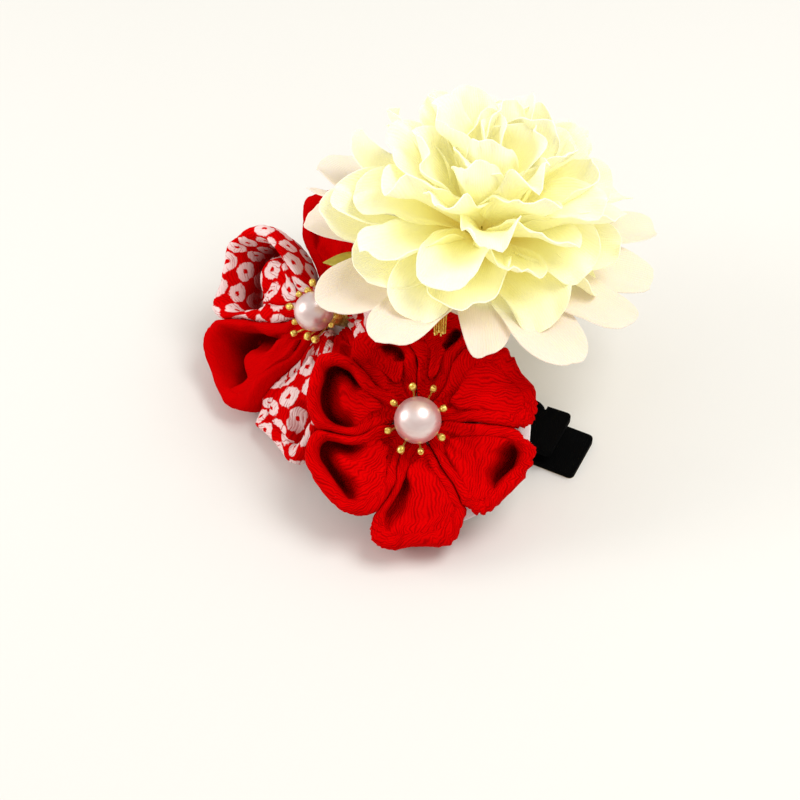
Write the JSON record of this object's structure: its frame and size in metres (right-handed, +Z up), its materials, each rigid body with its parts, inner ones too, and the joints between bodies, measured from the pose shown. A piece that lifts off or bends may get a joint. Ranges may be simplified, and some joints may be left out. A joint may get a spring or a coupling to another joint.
{
  "type": "kanzashi hair clip with cloth flowers",
  "caption": "Spring hair clip covered with black ribbon, carrying folded red crepe flowers with pearl middles and a full cream silk flower.",
  "frame": {"origin": "on the surface that the clip lies on, under the middle of the lower arm", "axes": "+X along the clip towards its finger end, +Z up from the surface, away from the hair"},
  "size_m": [0.0765, 0.0798, 0.0567],
  "materials": {
    "black_ribbon": "matte",
    "spring_steel": "satin",
    "white_felt": "matte",
    "gold_wire": "gloss",
    "pearl": "gloss",
    "red_crepe": "matte",
    "dotted_crepe": "matte",
    "cream_silk": "satin"
  },
  "bodies": {
    "lower_clip": {"clip_lower_arm": "black_ribbon", "hinge_pin": "spring_steel", "clip_spring": "spring_steel"},
    "upper_clip": {"clip_upper_arm": "black_ribbon", "flower_mount": "white_felt", "front_felt": "white_felt", "front_petal_1": "red_crepe", "front_petal_2": "red_crepe", "front_petal_3": "red_crepe", "front_petal_4": "red_crepe", "front_petal_5": "red_crepe", "front_petal_6": "red_crepe", "front_petal_7": "red_crepe", "front_stamens": "gold_wire", "front_pearl": "pearl", "left_felt": "white_felt", "left_petal_1": "red_crepe", "left_petal_2": "dotted_crepe", "left_petal_3": "red_crepe", "left_petal_4": "dotted_crepe", "left_petal_5": "red_crepe", "left_petal_6": "dotted_crepe", "left_stamens": "gold_wire", "left_pearl": "pearl", "mum_calyx": "cream_silk", "mum_ring_1": "cream_silk", "mum_ring_2": "cream_silk", "mum_ring_3": "cream_silk", "mum_ring_4": "cream_silk", "mum_ring_5": "cream_silk"}
  },
  "joints": [
    {"name": "clip_hinge", "type": "hinge", "parent": "lower_clip", "child": "upper_clip", "pos_m": [0.016, 0, 0.0027], "axis": [0, 1, 0], "range_deg": [0, 16], "stiffness_Nm_per_rad": 0.002, "springref_deg": -11.46}
  ]
}
